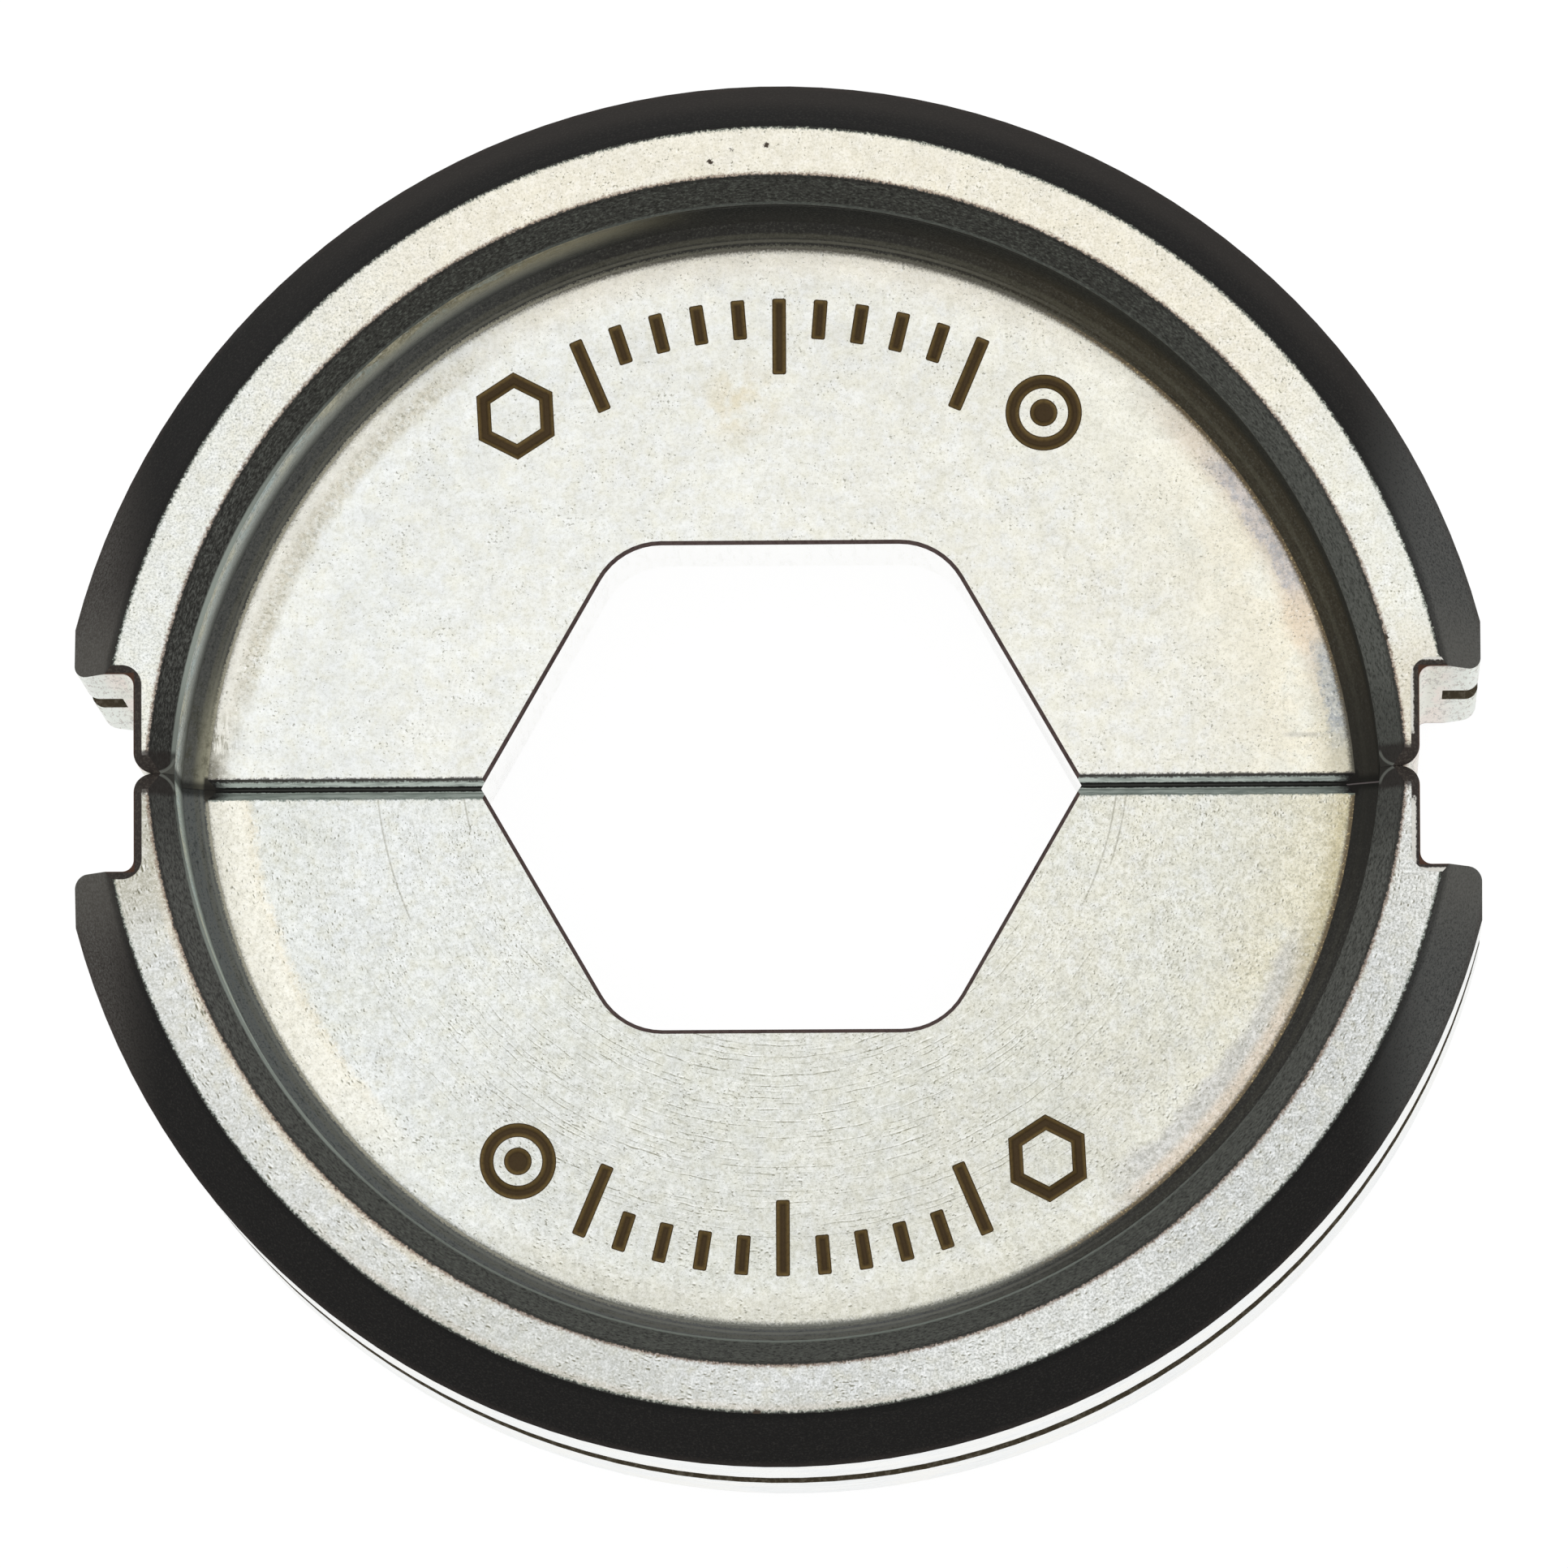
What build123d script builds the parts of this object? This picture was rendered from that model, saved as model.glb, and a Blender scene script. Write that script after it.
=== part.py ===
"""Hexagonal crimping die: two machined steel halves that meet face to face.

The die lies flat on its rim. +Z is the die axis, the halves part on the plane y = 0, and the
origin is at the bottom centre. The upper half is on the +Y side, and the lower half is the
same part turned by 180 degrees about the die axis. Lengths are in millimetres.
"""
import os

from build123d import *

# Overall sizes
die_width = 20.0            # along the die axis, from rim face to rim face
width_over_flats = 42.0     # across the two side flats, as wide as the tool's jaw
seat_radius = 21.7          # outer seat that lies in the tool's jaw
centre_setback = 1.0        # the arcs' centre lies this far past the parting face

# Rim, seen from either end
seat_bevel_radial = 1.45    # long bevel from the seat to the rim face
seat_bevel_axial = 2.4
rim_land = 1.5              # flat ring of the rim face
mouth_bevel_radial = 0.75   # bevel from the rim face into the recess
mouth_bevel_axial = 1.0

# Web that carries the hexagon
web_thickness = 7.0
web_bevel = 0.7             # between the web and the recess wall

# Retaining groove round the middle of the seat
groove_width = 3.0
groove_depth = 1.4

# Notch at each end of the parting line, which leaves a thin lug
notch_depth = 1.85          # from the side flat in to the lug
notch_height = 2.95         # from the parting face to the ledge
notch_fillet = 0.35         # inner corner
ledge_corner = 0.4          # outer corner, where the ledge meets the side flat
lug_end_radius = 0.6        # rounded end of the lug at the parting face
notch_edge_bevel = 0.25     # broken edge round the notch on the rim face

# Hexagonal crimping profile, about the same centre as the arcs
hexagon_side = 9.6
hexagon_corner = 2.1        # rounded corners at the bottom of the profile

# Broken edges of the parting face
parting_bevel_rim = 0.5
parting_bevel_web = 0.3

# Sizes that follow from the ones above
half_width = die_width / 2
half_web = web_thickness / 2
half_groove = groove_width / 2
rim_outer_radius = seat_radius - seat_bevel_radial
rim_inner_radius = rim_outer_radius - rim_land
recess_radius = rim_inner_radius - mouth_bevel_radial
flat_x = width_over_flats / 2
lug_x = flat_x - notch_depth
arc_centre = (0, -centre_setback)


def at_height(shapes, height):
    """Those of the shapes whose middle lies at the given height, above or below the web."""
    return shapes.filter_by(lambda shape: abs(abs(shape.center().Z) - height) < 0.01)


def turned_section():
    """Half section of the turned body, in the XZ plane, with X as the radius."""
    upper_edge = [
        (0, half_web),
        (recess_radius, half_web),
        (recess_radius, half_width - mouth_bevel_axial),
        (rim_inner_radius, half_width),
        (rim_outer_radius, half_width),
        (seat_radius, half_width - seat_bevel_axial),
        (seat_radius, half_groove),
        (seat_radius - groove_depth, half_groove),
    ]
    lower_edge = [(radius, -height) for radius, height in reversed(upper_edge)]
    section = make_face(Polyline(*upper_edge, *lower_edge, close=True))
    web_corners = [v for v in section.vertices()
                   if abs(v.X - recess_radius) < 0.01 and abs(abs(v.Y) - half_web) < 0.01]
    return Plane.XZ * chamfer(web_corners, web_bevel)


def turned_body():
    """The whole turned blank, before it is parted, about the arcs' own centre."""
    blank = revolve(turned_section(), Axis.Z)
    return Pos(*arc_centre, 0) * blank


def plan_outline():
    """What one half keeps of the blank, seen along the die axis: parting face, lugs, ledges
    and side flats."""
    reach = seat_radius + 1
    right_side = [(lug_x, 0), (lug_x, notch_height), (flat_x, notch_height), (flat_x, reach)]
    left_side = [(-x, y) for x, y in reversed(right_side)]
    outline = make_face(Polyline(*right_side, *left_side, close=True))
    for corner, radius in ((right_side[0], lug_end_radius), (right_side[1], notch_fillet),
                           (right_side[2], ledge_corner)):
        both = [v for v in outline.vertices()
                if abs(abs(v.X) - corner[0]) < 0.01 and abs(v.Y - corner[1]) < 0.01]
        outline = fillet(both, radius)
    return outline


def plan_block():
    """The plan outline as a block over the die's width, with its notch edges broken."""
    block = extrude(plan_outline(), half_width, both=True)
    rim_edges = at_height(block.edges(), half_width)
    notch_edges = [edge for edge in rim_edges
                   if edge.center().Y < notch_height + 0.01 and abs(edge.center().X) > 0.01]
    return chamfer(notch_edges, notch_edge_bevel)


def side_block():
    """What one half keeps of the blank, seen along the parting line: the two edges between
    the parting face and the rim faces are broken."""
    reach = seat_radius + 1
    outline = [
        (0, half_width - parting_bevel_rim),
        (parting_bevel_rim, half_width),
        (reach, half_width),
    ]
    mirrored = [(y, -z) for y, z in reversed(outline)]
    section = Plane.YZ * make_face(Polyline(*outline, *mirrored, close=True))
    return extrude(section, reach, both=True)


def hexagon_cut():
    """The crimping profile through the web, rounded where the hexagon's flat ends."""
    hexagon = RegularPolygon(hexagon_side, 6)
    far_corners = hexagon.vertices().group_by(Axis.Y)[-1]
    hexagon = fillet(far_corners, hexagon_corner)
    return extrude(Pos(*arc_centre) * hexagon, half_width, both=True)


def upper_half():
    """One finished half die, with its parting face on y = 0 and centred on z = 0. The web's
    parting edges are broken from the hexagon to the recess wall, before the flats and the
    notches are cut."""
    half_die = turned_body() & side_block()
    half_die = half_die - hexagon_cut()
    parting_edges = [edge for edge in at_height(half_die.edges(), half_web)
                     if abs(edge.center().Y) < 0.001]
    return chamfer(parting_edges, parting_bevel_web) & plan_block()


half = upper_half()
lifted = Pos(0, 0, half_width)
nodes = {
    "upper_die_half": lifted * half,
    "lower_die_half": lifted * Rot(0, 0, 180) * half,
}

os.makedirs("parts", exist_ok=True)
for name, solid in nodes.items():
    export_step(solid, f"parts/{name}.step")
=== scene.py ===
import math

import bmesh
import bpy
from mathutils import Matrix, Vector


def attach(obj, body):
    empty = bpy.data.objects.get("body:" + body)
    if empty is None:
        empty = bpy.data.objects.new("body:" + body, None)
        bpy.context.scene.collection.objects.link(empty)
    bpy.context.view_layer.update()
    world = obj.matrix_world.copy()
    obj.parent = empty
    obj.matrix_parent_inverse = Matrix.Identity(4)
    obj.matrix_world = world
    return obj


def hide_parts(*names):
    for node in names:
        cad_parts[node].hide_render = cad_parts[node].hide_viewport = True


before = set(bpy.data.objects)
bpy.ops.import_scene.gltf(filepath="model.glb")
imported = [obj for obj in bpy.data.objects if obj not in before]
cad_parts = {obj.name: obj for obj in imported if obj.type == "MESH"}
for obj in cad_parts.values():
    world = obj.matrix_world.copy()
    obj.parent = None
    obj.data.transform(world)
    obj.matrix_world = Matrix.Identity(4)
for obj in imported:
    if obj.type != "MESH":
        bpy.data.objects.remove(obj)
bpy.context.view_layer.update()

MM = 0.001

# Sizes of the die that the looks follow, in millimetres
MID_HEIGHT = 10.0
SETBACK = 1.0               # the arcs' centre lies this far past the parting face
SEAT_RADIUS = 21.7
RIM_OUTER = 20.25
RIM_INNER = 18.75
RECESS_RADIUS = 18.0
WEB_EDGE = 17.3             # where the web's flat face ends
HALF_WEB = 3.5
HALF_WIDTH = 10.0
GROOVE_FLOOR = 20.3
HEXAGON_REACH = 11.0        # all of the hexagon's walls lie nearer to the centre
FLAT = 21.0                 # half the width over the side flats
LUG = 19.15                 # the notch reaches in to here
LEDGE = 2.95                # and up to here

# The side of the parting line that a half lies on
UPPER = 1
LOWER = -1

# How a packed half is joined up and its edges are finished, in millimetres and degrees
SAME_CORNER = 0.002         # corners that lie nearer are one corner
SAME_FACE = 0.4             # triangles that lean less from each other are one face
EDGE_BREAK = 0.05           # every sharp edge is rounded by this
SHARP_FROM = 25             # edges of more than this angle are the sharp ones
HEXAGON_BREAK = 0.12        # the crimping profile's own edges are broken by this
SMOOTH_TO = 35              # edges of up to this angle are shaded smooth

# Marks engraved in the web: a plain scale between a hexagon and a ring
MARK_RADIUS = 14.6          # from the arcs' centre to the middle of the marks
MARK_HEIGHT = 2.3
SHORT_MARK = 1.2
MARK_STROKE = 0.42
MARK_ROUNDING = 0.06
MARK_DEPTH = 0.12
MARK_SLOPE = 0.17           # how far a stroke's sides lean in down to its floor
END_BEARING = 33.0          # of the hexagon and the ring, from the half's middle, in degrees
SCALE_STEPS = 10
SCALE_STEP = 4.6            # degrees
LONG_EVERY = 5              # every fifth stroke of the scale is a long one

# How the faces of a half are told apart
SQUARE = 0.99               # a normal with this much along a direction is square to it
LEANING = 0.1               # and with this much of Z the face leans
SLACK = 0.05                # how far a face's middle may lie from a size, in millimetres
CLOSE = 0.01                # or from a size that it lies on exactly

# Faces of a half, by the finish that they get
FINISHES = 13
(WEB, RIM, SEAT_BEVEL, MOUTH_BEVEL, RECESS, SEAT, GROOVE, BORE, PARTING, EDGE, NOTCH,
 BRINK, MARK) = range(FINISHES)


def linear(red, green, blue):
    """A display colour, 0 to 255, as the linear values that shaders take."""
    shares = (red / 255, green / 255, blue / 255)
    return tuple(c / 12.92 if c <= 0.04045 else ((c + 0.055) / 1.055) ** 2.4 for c in shares)


# Shader maths

class Signal:
    """A number that changes over the surface. An expression on signals adds its Math nodes."""

    def __init__(self, finish, socket):
        self.finish = finish
        self.socket = socket

    def maths(self, operation, *others):
        """The result of a Math node on this signal and the others, which may be numbers."""
        return self.finish.node("ShaderNodeMath", {"operation": operation}, [self, *others])

    def __add__(self, other):
        return self.maths("ADD", other)

    def __sub__(self, other):
        return self.maths("SUBTRACT", other)

    def __rsub__(self, other):
        return self.finish.node("ShaderNodeMath", {"operation": "SUBTRACT"}, [other, self])

    def __mul__(self, other):
        return self.maths("MULTIPLY", other)

    def __pow__(self, other):
        return self.maths("POWER", other)

    def __abs__(self):
        return self.maths("ABSOLUTE")

    def __neg__(self):
        return self * -1

    def lowest(self, other):
        return self.maths("MINIMUM", other)

    def highest(self, other):
        return self.maths("MAXIMUM", other)

    def ramp(self, start, end, before, after):
        """One value below start and another past end, smooth between them."""
        settings = {"interpolation_type": "SMOOTHSTEP"}
        return self.finish.node("ShaderNodeMapRange", settings, [self, start, end, before, after])

    def rise(self, start, end):
        """0 below start and 1 past end, smooth between them."""
        return self.ramp(start, end, 0.0, 1.0)

    def fall(self, start, end):
        """1 below start and 0 past end, smooth between them."""
        return self.ramp(start, end, 1.0, 0.0)

    def band(self, middle, reach, soft):
        """1 within reach of the middle value and 0 a soft width further out."""
        return abs(self - middle).fall(reach, reach + soft)


class Finish:
    """A material, built up node by node."""

    def __init__(self, name):
        self.material = bpy.data.materials.new(name)
        self.material.use_nodes = True
        self.tree = self.material.node_tree
        self.tree.nodes.clear()
        self.output = self.tree.nodes.new("ShaderNodeOutputMaterial")

    def node(self, kind, settings=None, sockets=(), give=0):
        """Adds a node: its settings first, and then the values or links of its sockets, which
        are a list in the node's order or a dict by identifier. Gives one of its outputs."""
        node = self.tree.nodes.new(kind)
        for key, value in (settings or {}).items():
            setattr(node, key, value)
        if isinstance(sockets, dict):
            named = {socket.identifier: socket for socket in node.inputs}
            pairs = [(named[key], value) for key, value in sockets.items()]
        else:
            pairs = list(zip(node.inputs, sockets))
        for socket, value in pairs:
            if isinstance(value, Signal):
                self.tree.links.new(value.socket, socket)
            elif hasattr(value, "__len__") and socket.type == "RGBA":
                socket.default_value = (*value, 1.0)
            else:
                socket.default_value = value
        outputs = {socket.identifier: socket for socket in node.outputs}
        return Signal(self, outputs[give] if isinstance(give, str) else node.outputs[give])

    def mix(self, share, first, second):
        """The first colour with a share of the second one over it."""
        sockets = {"Factor_Float": share, "A_Color": first, "B_Color": second}
        return self.node("ShaderNodeMix", {"data_type": "RGBA"}, sockets, "Result_Color")

    def grain(self, place, scale, detail=2.0, roughness=0.5):
        """Smooth noise, about 0.5 on the middle. Scale is in features per millimetre."""
        sockets = {"Vector": place, "Scale": scale, "Detail": detail, "Roughness": roughness}
        return self.node("ShaderNodeTexNoise", {}, sockets, "Fac")

    def vector(self, x, y, z):
        """A place, for grain that is stretched or bent."""
        return self.node("ShaderNodeCombineXYZ", {}, [x, y, z])

    def surface(self, **sockets):
        """Ends the material with the metal's shader."""
        named = {key.replace("_", " "): value for key, value in sockets.items()}
        shader = self.node("ShaderNodeBsdfPrincipled", {}, named)
        self.tree.links.new(shader.socket, self.output.inputs["Surface"])
        return self.material


class DieFinish(Finish):
    """A finish that knows where on the die it is: x, y and z in millimetres, the radius from
    the half's own arc centre, the angle round it from the right end over the half's middle, in
    radians and as a bearing in degrees, and the height over the middle plane."""

    def __init__(self, name, side, tone):
        super().__init__(name)
        self.colour = linear(*tone)
        metres = self.node("ShaderNodeTexCoord", {}, [], "Object")
        self.place = self.node("ShaderNodeVectorMath", {"operation": "SCALE"},
                               {"Vector": metres, "Scale": 1 / MM})
        self.x, self.y, self.z = (self.node("ShaderNodeSeparateXYZ", {}, [self.place], axis)
                                  for axis in range(3))
        past_centre = self.y + side * SETBACK
        self.radius = (self.x * self.x + past_centre * past_centre) ** 0.5
        self.angle = (past_centre * side).maths("ARCTAN2", self.x)
        self.bearing = self.angle * math.degrees(1)
        self.height = abs(self.z - MID_HEIGHT)

    def speckle(self, scale):
        """Fine, busy noise."""
        return self.grain(self.place, scale, 2.0, 0.8)

    def wobble(self, scale, reach):
        """Busy noise about zero, to make an outline ragged."""
        return (self.speckle(scale) - 0.5) * reach

    def notch_gap(self):
        """How far inside the outline a place is, from the notch."""
        inwards = (LUG - abs(self.x)).highest(0.0)
        upwards = (abs(self.y) - LEDGE).highest(0.0)
        return (inwards * inwards + upwards * upwards) ** 0.5

    def spot(self, x, y, reach, soft, ragged=0.0):
        """1 within reach of a place on the die and 0 a soft width further out. Ragged is a
        number, or a signal that makes its outline uneven."""
        across = self.x - x
        up = self.y - y
        return ((across * across + up * up) ** 0.5 + ragged).fall(reach, reach + soft)

    def beside(self, across, up):
        """The place a little to the right of and above each place."""
        return self.node("ShaderNodeVectorMath", {"operation": "ADD"},
                         {"Vector": self.place, "Vector_001": (across, up, 0.0)})

    def scratch(self, radius, bearing, reach):
        """A fine scratch round the arcs' centre, over a reach of degrees both ways."""
        return self.radius.band(radius, 0.01, 0.03) * self.bearing.band(bearing, reach, 2)

    def lay(self, share, tone):
        """Lays a display tone over the colour so far, by the given share."""
        self.colour = self.mix(share, self.colour, linear(*tone))

    def surface(self, **sockets):
        """Ends the material with the metal's shader, in the colour so far."""
        return super().surface(Base_Color=self.colour, **sockets)

    def dark_surface(self, roughness=0.5, sheen=0.03):
        """Ends a dark material: not bright as metal, and with hardly any sheen."""
        return self.surface(Metallic=0.0, Roughness=roughness, Specular_IOR_Level=sheen)


def plated(name, side, pale, cool, warm):
    """Bright plating: pale, a little cooler to the left and warmer to the right, with faint
    yellow and blue patches."""
    finish = DieFinish(name, side, cool)
    finish.lay(finish.x.rise(-15, 15), warm)
    finish.lay(finish.grain(finish.place, 0.28, 3.0).rise(0.35, 0.65) * 0.5, pale)
    tint = finish.grain(finish.place, 2.0, 3.0, 0.6)
    finish.lay(tint.rise(0.50, 0.66) * 0.22, (236, 232, 206))
    finish.lay(tint.fall(0.36, 0.50) * 0.25, (236, 240, 246))
    return finish


def roughen(finish, grit, drawn=False):
    """Lays a very fine grain over a finish, and small pits in loose groups, each with a painted
    highlight on one side. Grit is how strong the grain is. Drawn is whether the pits lie along
    the turning direction. Gives the grain."""
    glint = (255, 255, 252)
    place = finish.place
    fine = finish.speckle(13.0)
    worn = finish.x.rise(2, 15) * 0.14 + 0.32
    finish.lay(fine.rise(0.46, 0.72) * worn * grit, (126, 124, 108))
    finish.lay(fine.fall(0.28, 0.50) * grit * 0.30, glint)
    clouds = finish.grain(place, 4.0, 2.0, 0.7)
    finish.lay(clouds.rise(0.44, 0.72) * grit * 0.16, (150, 148, 134))
    finish.lay(clouds.fall(0.28, 0.54) * grit * 0.14, glint)
    groups = finish.grain(place, 0.9, 2.0) * 0.3 + grit * 0.04 - 0.045
    dark, lit = place, finish.beside(0.06, 0.05)
    if drawn:
        dark, lit = (finish.vector((finish.radius + aside) * 1.6, finish.angle * 9.0, finish.z)
                     for aside in (0.0, 0.06))
    dark_pits, lit_sides = (finish.grain(where, 10.0, 1.0, 0.7) + groups for where in (dark, lit))
    # painted highlight on one side of each pit
    finish.lay(lit_sides.rise(0.78, 0.94) * 0.5, glint)
    finish.lay(dark_pits.rise(0.77, 0.90) * (0.35 + 0.4 * grit), (108, 106, 86))
    return fine


def bright_steel(finish, fine, gloss=0.0):
    """Ends a plated finish with the metal's own shader and its fine grain in relief. Gloss is
    where it is smoother."""
    rough = finish.grain(finish.place, 1.3, 3.0) * 0.2 + 0.32 - gloss * 0.12
    relief = {"Strength": 0.12, "Distance": 0.00003, "Height": fine}
    bump = finish.node("ShaderNodeBump", {}, relief)
    return finish.surface(Metallic=0.6, Roughness=rough, Normal=bump)


def turning_marks(finish, share):
    """Thin broken lines round the arcs' centre, each with a painted highlight along one side,
    clearest at the half's middle."""
    pieces = finish.vector(finish.radius * 9.0, finish.angle * 6.0, 4.0)
    broken = finish.grain(pieces, 1.0, 2.0).rise(0.46, 0.62)
    dotted = finish.grain(finish.place, 7.0, 1.0).rise(0.36, 0.56) * 0.7 + 0.3
    reach = finish.bearing.band(92, 25, 45) * 0.75 + 0.25
    there = broken * dotted * reach * finish.radius.fall(13.8, 15.6) * share
    sway = finish.grain(finish.place, 1.5, 1.0) * 0.12 + finish.radius
    uneven = finish.grain(finish.vector(finish.radius * 3.0, 0.0, 0.0), 1.0, 1.0) * 4.0
    # the first pass paints the highlight beside each line, the second the dark line itself
    for aside, strength, tone in ((0.04, 0.8, (255, 255, 250)), (0.0, 1.0, (104, 102, 74))):
        wave = ((sway + aside) * 36.0 + uneven).maths("SINE")
        finish.lay(wave.rise(0.82, 1.0) * there * strength, tone)


def web_edge(finish, tone, share, gold, reach):
    """The web's rim, where the plating ends raggedly in the dark foot of the recess wall, and
    in a golden brown edge with painted glints within reach of one bearing."""
    radius, bearing = finish.radius, finish.bearing
    ragged = radius + finish.wobble(14.0, 0.26)
    finish.lay((ragged - bearing.rise(95, 135) * 0.12).rise(17.06, 17.26) * share, tone)
    golden = bearing.band(gold, reach, 14) * (ragged * 0.3 + radius * 0.7).rise(17.12, 17.22)
    finish.lay(golden * 0.7, (100, 82, 52))
    # painted glints along the golden edge
    painted_glints = finish.grain(finish.place, 12.0, 1.0, 0.8).rise(0.56, 0.68)
    finish.lay(golden * painted_glints * radius.fall(17.26, 17.34) * 0.6, (214, 192, 142))


def parting_fringe(finish, tone):
    """The ragged end of the web's plating along the parting line."""
    past = abs(finish.y) + finish.wobble(9.0, 0.22)
    finish.lay(past.fall(0.30, 0.37) * 0.9, tone)


def upper_left_strip(finish, mottle):
    """A cream strip along the upper web's left edge, with a brownish mottled border."""
    radius, bearing = finish.radius, finish.bearing
    finish.lay(radius.rise(16.5, 17.0) * bearing.rise(122, 140) * 0.8, (244, 241, 230))
    border = radius.band(16.62, 0.12, 0.35) * bearing.band(146, 16, 12)
    finish.lay(border * mottle.rise(0.26, 0.60) * 0.65, (198, 190, 168))
    dashes = finish.grain(finish.vector(radius * 5.0, finish.angle * 130.0, 2.0), 1.0, 2.0, 0.8)
    finish.lay(border * dashes.rise(0.50, 0.64) * 0.45, (140, 140, 122))


def upper_right_stains(finish, clouds, mottle):
    """Stains along the upper web's top and right edges: cream with violet, orange and
    blue-grey patches. The top cream is also painted paler, as light against the wall's shade."""
    radius, bearing = finish.radius, finish.bearing
    # cream stain along the top edge, painted paler as light against the wall's shade
    finish.lay(radius.rise(16.0, 17.0) * bearing.band(85, 25, 20) * 0.7, (248, 242, 226))
    finish.lay(radius.rise(12.5, 15.2) * bearing.fall(46, 76) * 0.6, (241, 239, 224))
    finish.lay(radius.rise(12.0, 16.8) * bearing.fall(28, 52) * clouds.rise(0.34, 0.52),
               (240, 234, 214))
    finish.lay(radius.rise(15.8, 16.9) * bearing.fall(10, 20) * 0.7, (196, 190, 166))
    finish.lay(radius.rise(16.1, 16.8) * bearing.band(30, 12, 10) * 0.6, (208, 190, 170))
    wander = (mottle - 0.5) * 0.6 + (clouds - 0.5) * 0.8 + radius
    violet = wander.rise(16.45, 16.80) * bearing.band(31, 6, 5)
    finish.lay(violet * 0.7, (206, 198, 196))
    finish.lay(violet * mottle.rise(0.40, 0.64) * 0.6, (152, 157, 165))
    finish.lay(wander.rise(16.0, 16.5) * bearing.band(20.6, 1.8, 2.5) * 0.6, (240, 220, 192))
    grey = wander.rise(16.50, 16.85) * bearing.band(13, 3, 4)
    finish.lay(grey * 0.8, (194, 196, 192))
    finish.lay(grey * mottle.rise(0.40, 0.64) * 0.7, (136, 144, 154))


def upper_web_finish(pale, cool, warm, grit):
    """The upper web: smooth plating with stained edges, a brownish cloud over the hexagon, a
    dirty lower left corner and a grey smear near the lower right one."""
    finish = plated("web face", UPPER, pale, cool, warm)
    clouds = finish.grain(finish.place, 0.6, 3.0, 0.6)
    mottle = finish.grain(finish.place, 5.0, 3.0, 0.8)
    upper_left_strip(finish, mottle)
    upper_right_stains(finish, clouds, mottle)
    finish.lay(finish.spot(-1.2, 11.6, 0.1, 1.6) * clouds.rise(0.38, 0.52) * 0.7, (218, 206, 172))
    streaks = finish.grain(finish.vector(finish.x * 5.0, finish.y * 0.9, 0.0), 1.0, 3.0, 0.8)
    corner = finish.spot(-17.15, 1.6, 0.2, 0.9) * streaks.rise(0.42, 0.56)
    finish.lay(corner * 0.8, (124, 120, 96))
    finish.lay(finish.spot(-17.2, 0.5, 0.1, 0.7, (mottle - 0.5) * 0.8) * 0.8, (96, 92, 74))
    smear = abs(finish.y - 1.47).fall(0.02, 0.12) * abs(finish.x - 15.7).fall(0.3, 0.8)
    finish.lay(smear * 0.5, (176, 174, 166))
    turning_marks(finish, 0.06)
    fine = roughen(finish, grit)
    web_edge(finish, (76, 73, 62), 0.95, gold=36, reach=16)
    parting_fringe(finish, (62, 56, 52))
    return bright_steel(finish, fine, gloss=finish.radius.rise(14.5, 16.8))


def lower_web_finish(pale, cool, warm, grit):
    """The lower web: plating with fine turning marks and scratches round the hexagon, a cream
    strip along its left edge, and an olive tint with a violet patch along its right edge."""
    finish = plated("web face", LOWER, pale, cool, warm)
    radius, bearing = finish.radius, finish.bearing
    clouds = finish.grain(finish.place, 0.6, 3.0, 0.6)
    mottle = finish.grain(finish.place, 5.0, 3.0, 0.8)
    wander = (clouds - 0.5) * 0.9 + radius
    strip = (clouds - 0.5) * 0.4 + (mottle - 0.5) * 0.3 + radius
    finish.lay(strip.rise(15.85, 16.20) * bearing.rise(128, 146) * 0.8, (245, 241, 226))
    border = strip.band(16.12, 0.02, 0.30) * bearing.band(160, 14, 10)
    finish.lay(border * mottle.rise(0.36, 0.62) * 0.5, (222, 212, 186))
    finish.lay(radius.rise(16.0, 16.7) * bearing.band(90, 24, 12) * 0.7, (212, 210, 195))
    finish.lay(bearing.band(84, 36, 22) * radius.fall(15.9, 16.5) * 0.24, (190, 192, 182))
    olive = radius.rise(13.2, 16.9) * bearing.fall(26, 44) * clouds.rise(0.30, 0.50)
    finish.lay(olive * 0.9, (226, 220, 195))
    finish.lay(olive * mottle.rise(0.50, 0.62) * 0.35, (150, 144, 108))
    violet = wander.rise(15.90, 16.35) * bearing.band(36, 12, 8)
    finish.lay(violet * 0.75, (199, 198, 196))
    finish.lay(violet * mottle.rise(0.46, 0.62) * 0.5, (156, 157, 150))
    pink = radius.rise(16.60, 16.95) * bearing.band(38, 10, 8)
    finish.lay(pink * 0.7, (226, 208, 186))
    finish.lay(radius.rise(16.35, 17.05) * bearing.fall(20, 30) * 0.6, (190, 176, 126))
    turning_marks(finish, 0.9)
    for ring, middle, reach in ((10.15, 14, 12), (10.45, 10, 8), (9.62, 172, 5), (12.2, 166, 9)):
        finish.lay(finish.scratch(ring, middle, reach) * 0.5, (128, 124, 104))
    fine = roughen(finish, grit, drawn=True)
    web_edge(finish, (78, 80, 74), 0.9, gold=27, reach=26)
    parting_fringe(finish, (104, 116, 108))
    return bright_steel(finish, fine, gloss=radius.rise(14.5, 16.8))


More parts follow.
